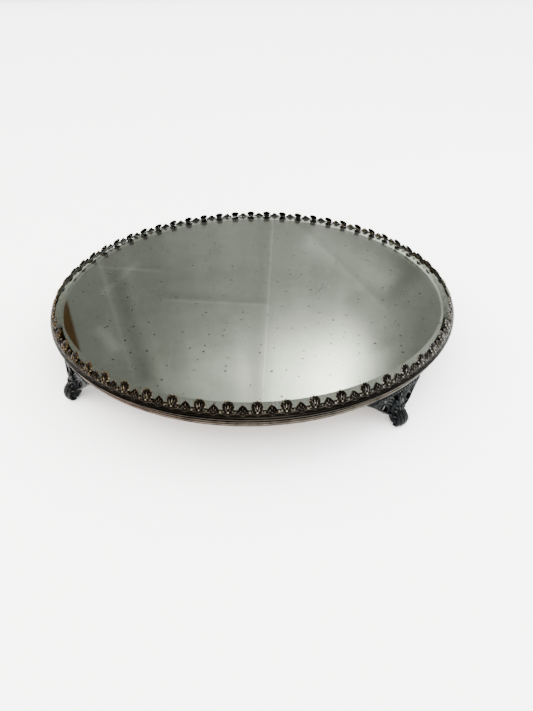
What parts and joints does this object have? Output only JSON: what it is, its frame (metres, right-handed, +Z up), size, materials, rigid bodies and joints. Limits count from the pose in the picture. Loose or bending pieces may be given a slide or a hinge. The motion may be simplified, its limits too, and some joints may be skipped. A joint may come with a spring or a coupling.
{
  "type": "mirrored plateau",
  "caption": "Low round display tray: a bevelled mirror facing up in a pierced palmette gallery and moulded rim, on scroll feet.",
  "frame": {"origin": "centre of the circle of feet, on the surface they stand on", "axes": "+Z up out of the mirror; -Y is the front, midway between the two front feet"},
  "size_m": [0.365, 0.365, 0.0487],
  "materials": {
    "glass": "polished plate glass with a wide polished bevel",
    "silvering": "aged grey-green silvering with small dark specks",
    "card": "grey packing card",
    "board": "stained softwood, turned",
    "rim": "silver plate on brass, oxidised nearly black",
    "moulding": "silver plate worn to pinkish copper and tan grey",
    "gallery": "stamped and pierced, oxidised with bright worn edges",
    "feet": "cast, blackened plate",
    "screws": "dull steel"
  },
  "bodies": {
    "root": {"mirror_glass": "glass", "mirror_silvering": "silvering", "packing_card": "card", "base_board": "board", "rim_band": "rim", "reeded_moulding": "moulding", "gallery_strip": "gallery", "foot_front_left": "feet", "foot_front_right": "feet", "foot_back_left": "feet", "foot_back_right": "feet", "foot_screw_front_left_a": "screws", "foot_screw_front_left_b": "screws", "foot_screw_front_right_a": "screws", "foot_screw_front_right_b": "screws", "foot_screw_back_left_a": "screws", "foot_screw_back_left_b": "screws", "foot_screw_back_right_a": "screws", "foot_screw_back_right_b": "screws", "rim_screw_1": "screws", "rim_screw_2": "screws", "rim_screw_3": "screws", "rim_screw_4": "screws", "rim_screw_5": "screws", "rim_screw_6": "screws", "rim_screw_7": "screws", "rim_screw_8": "screws"}
  },
  "joints": []
}
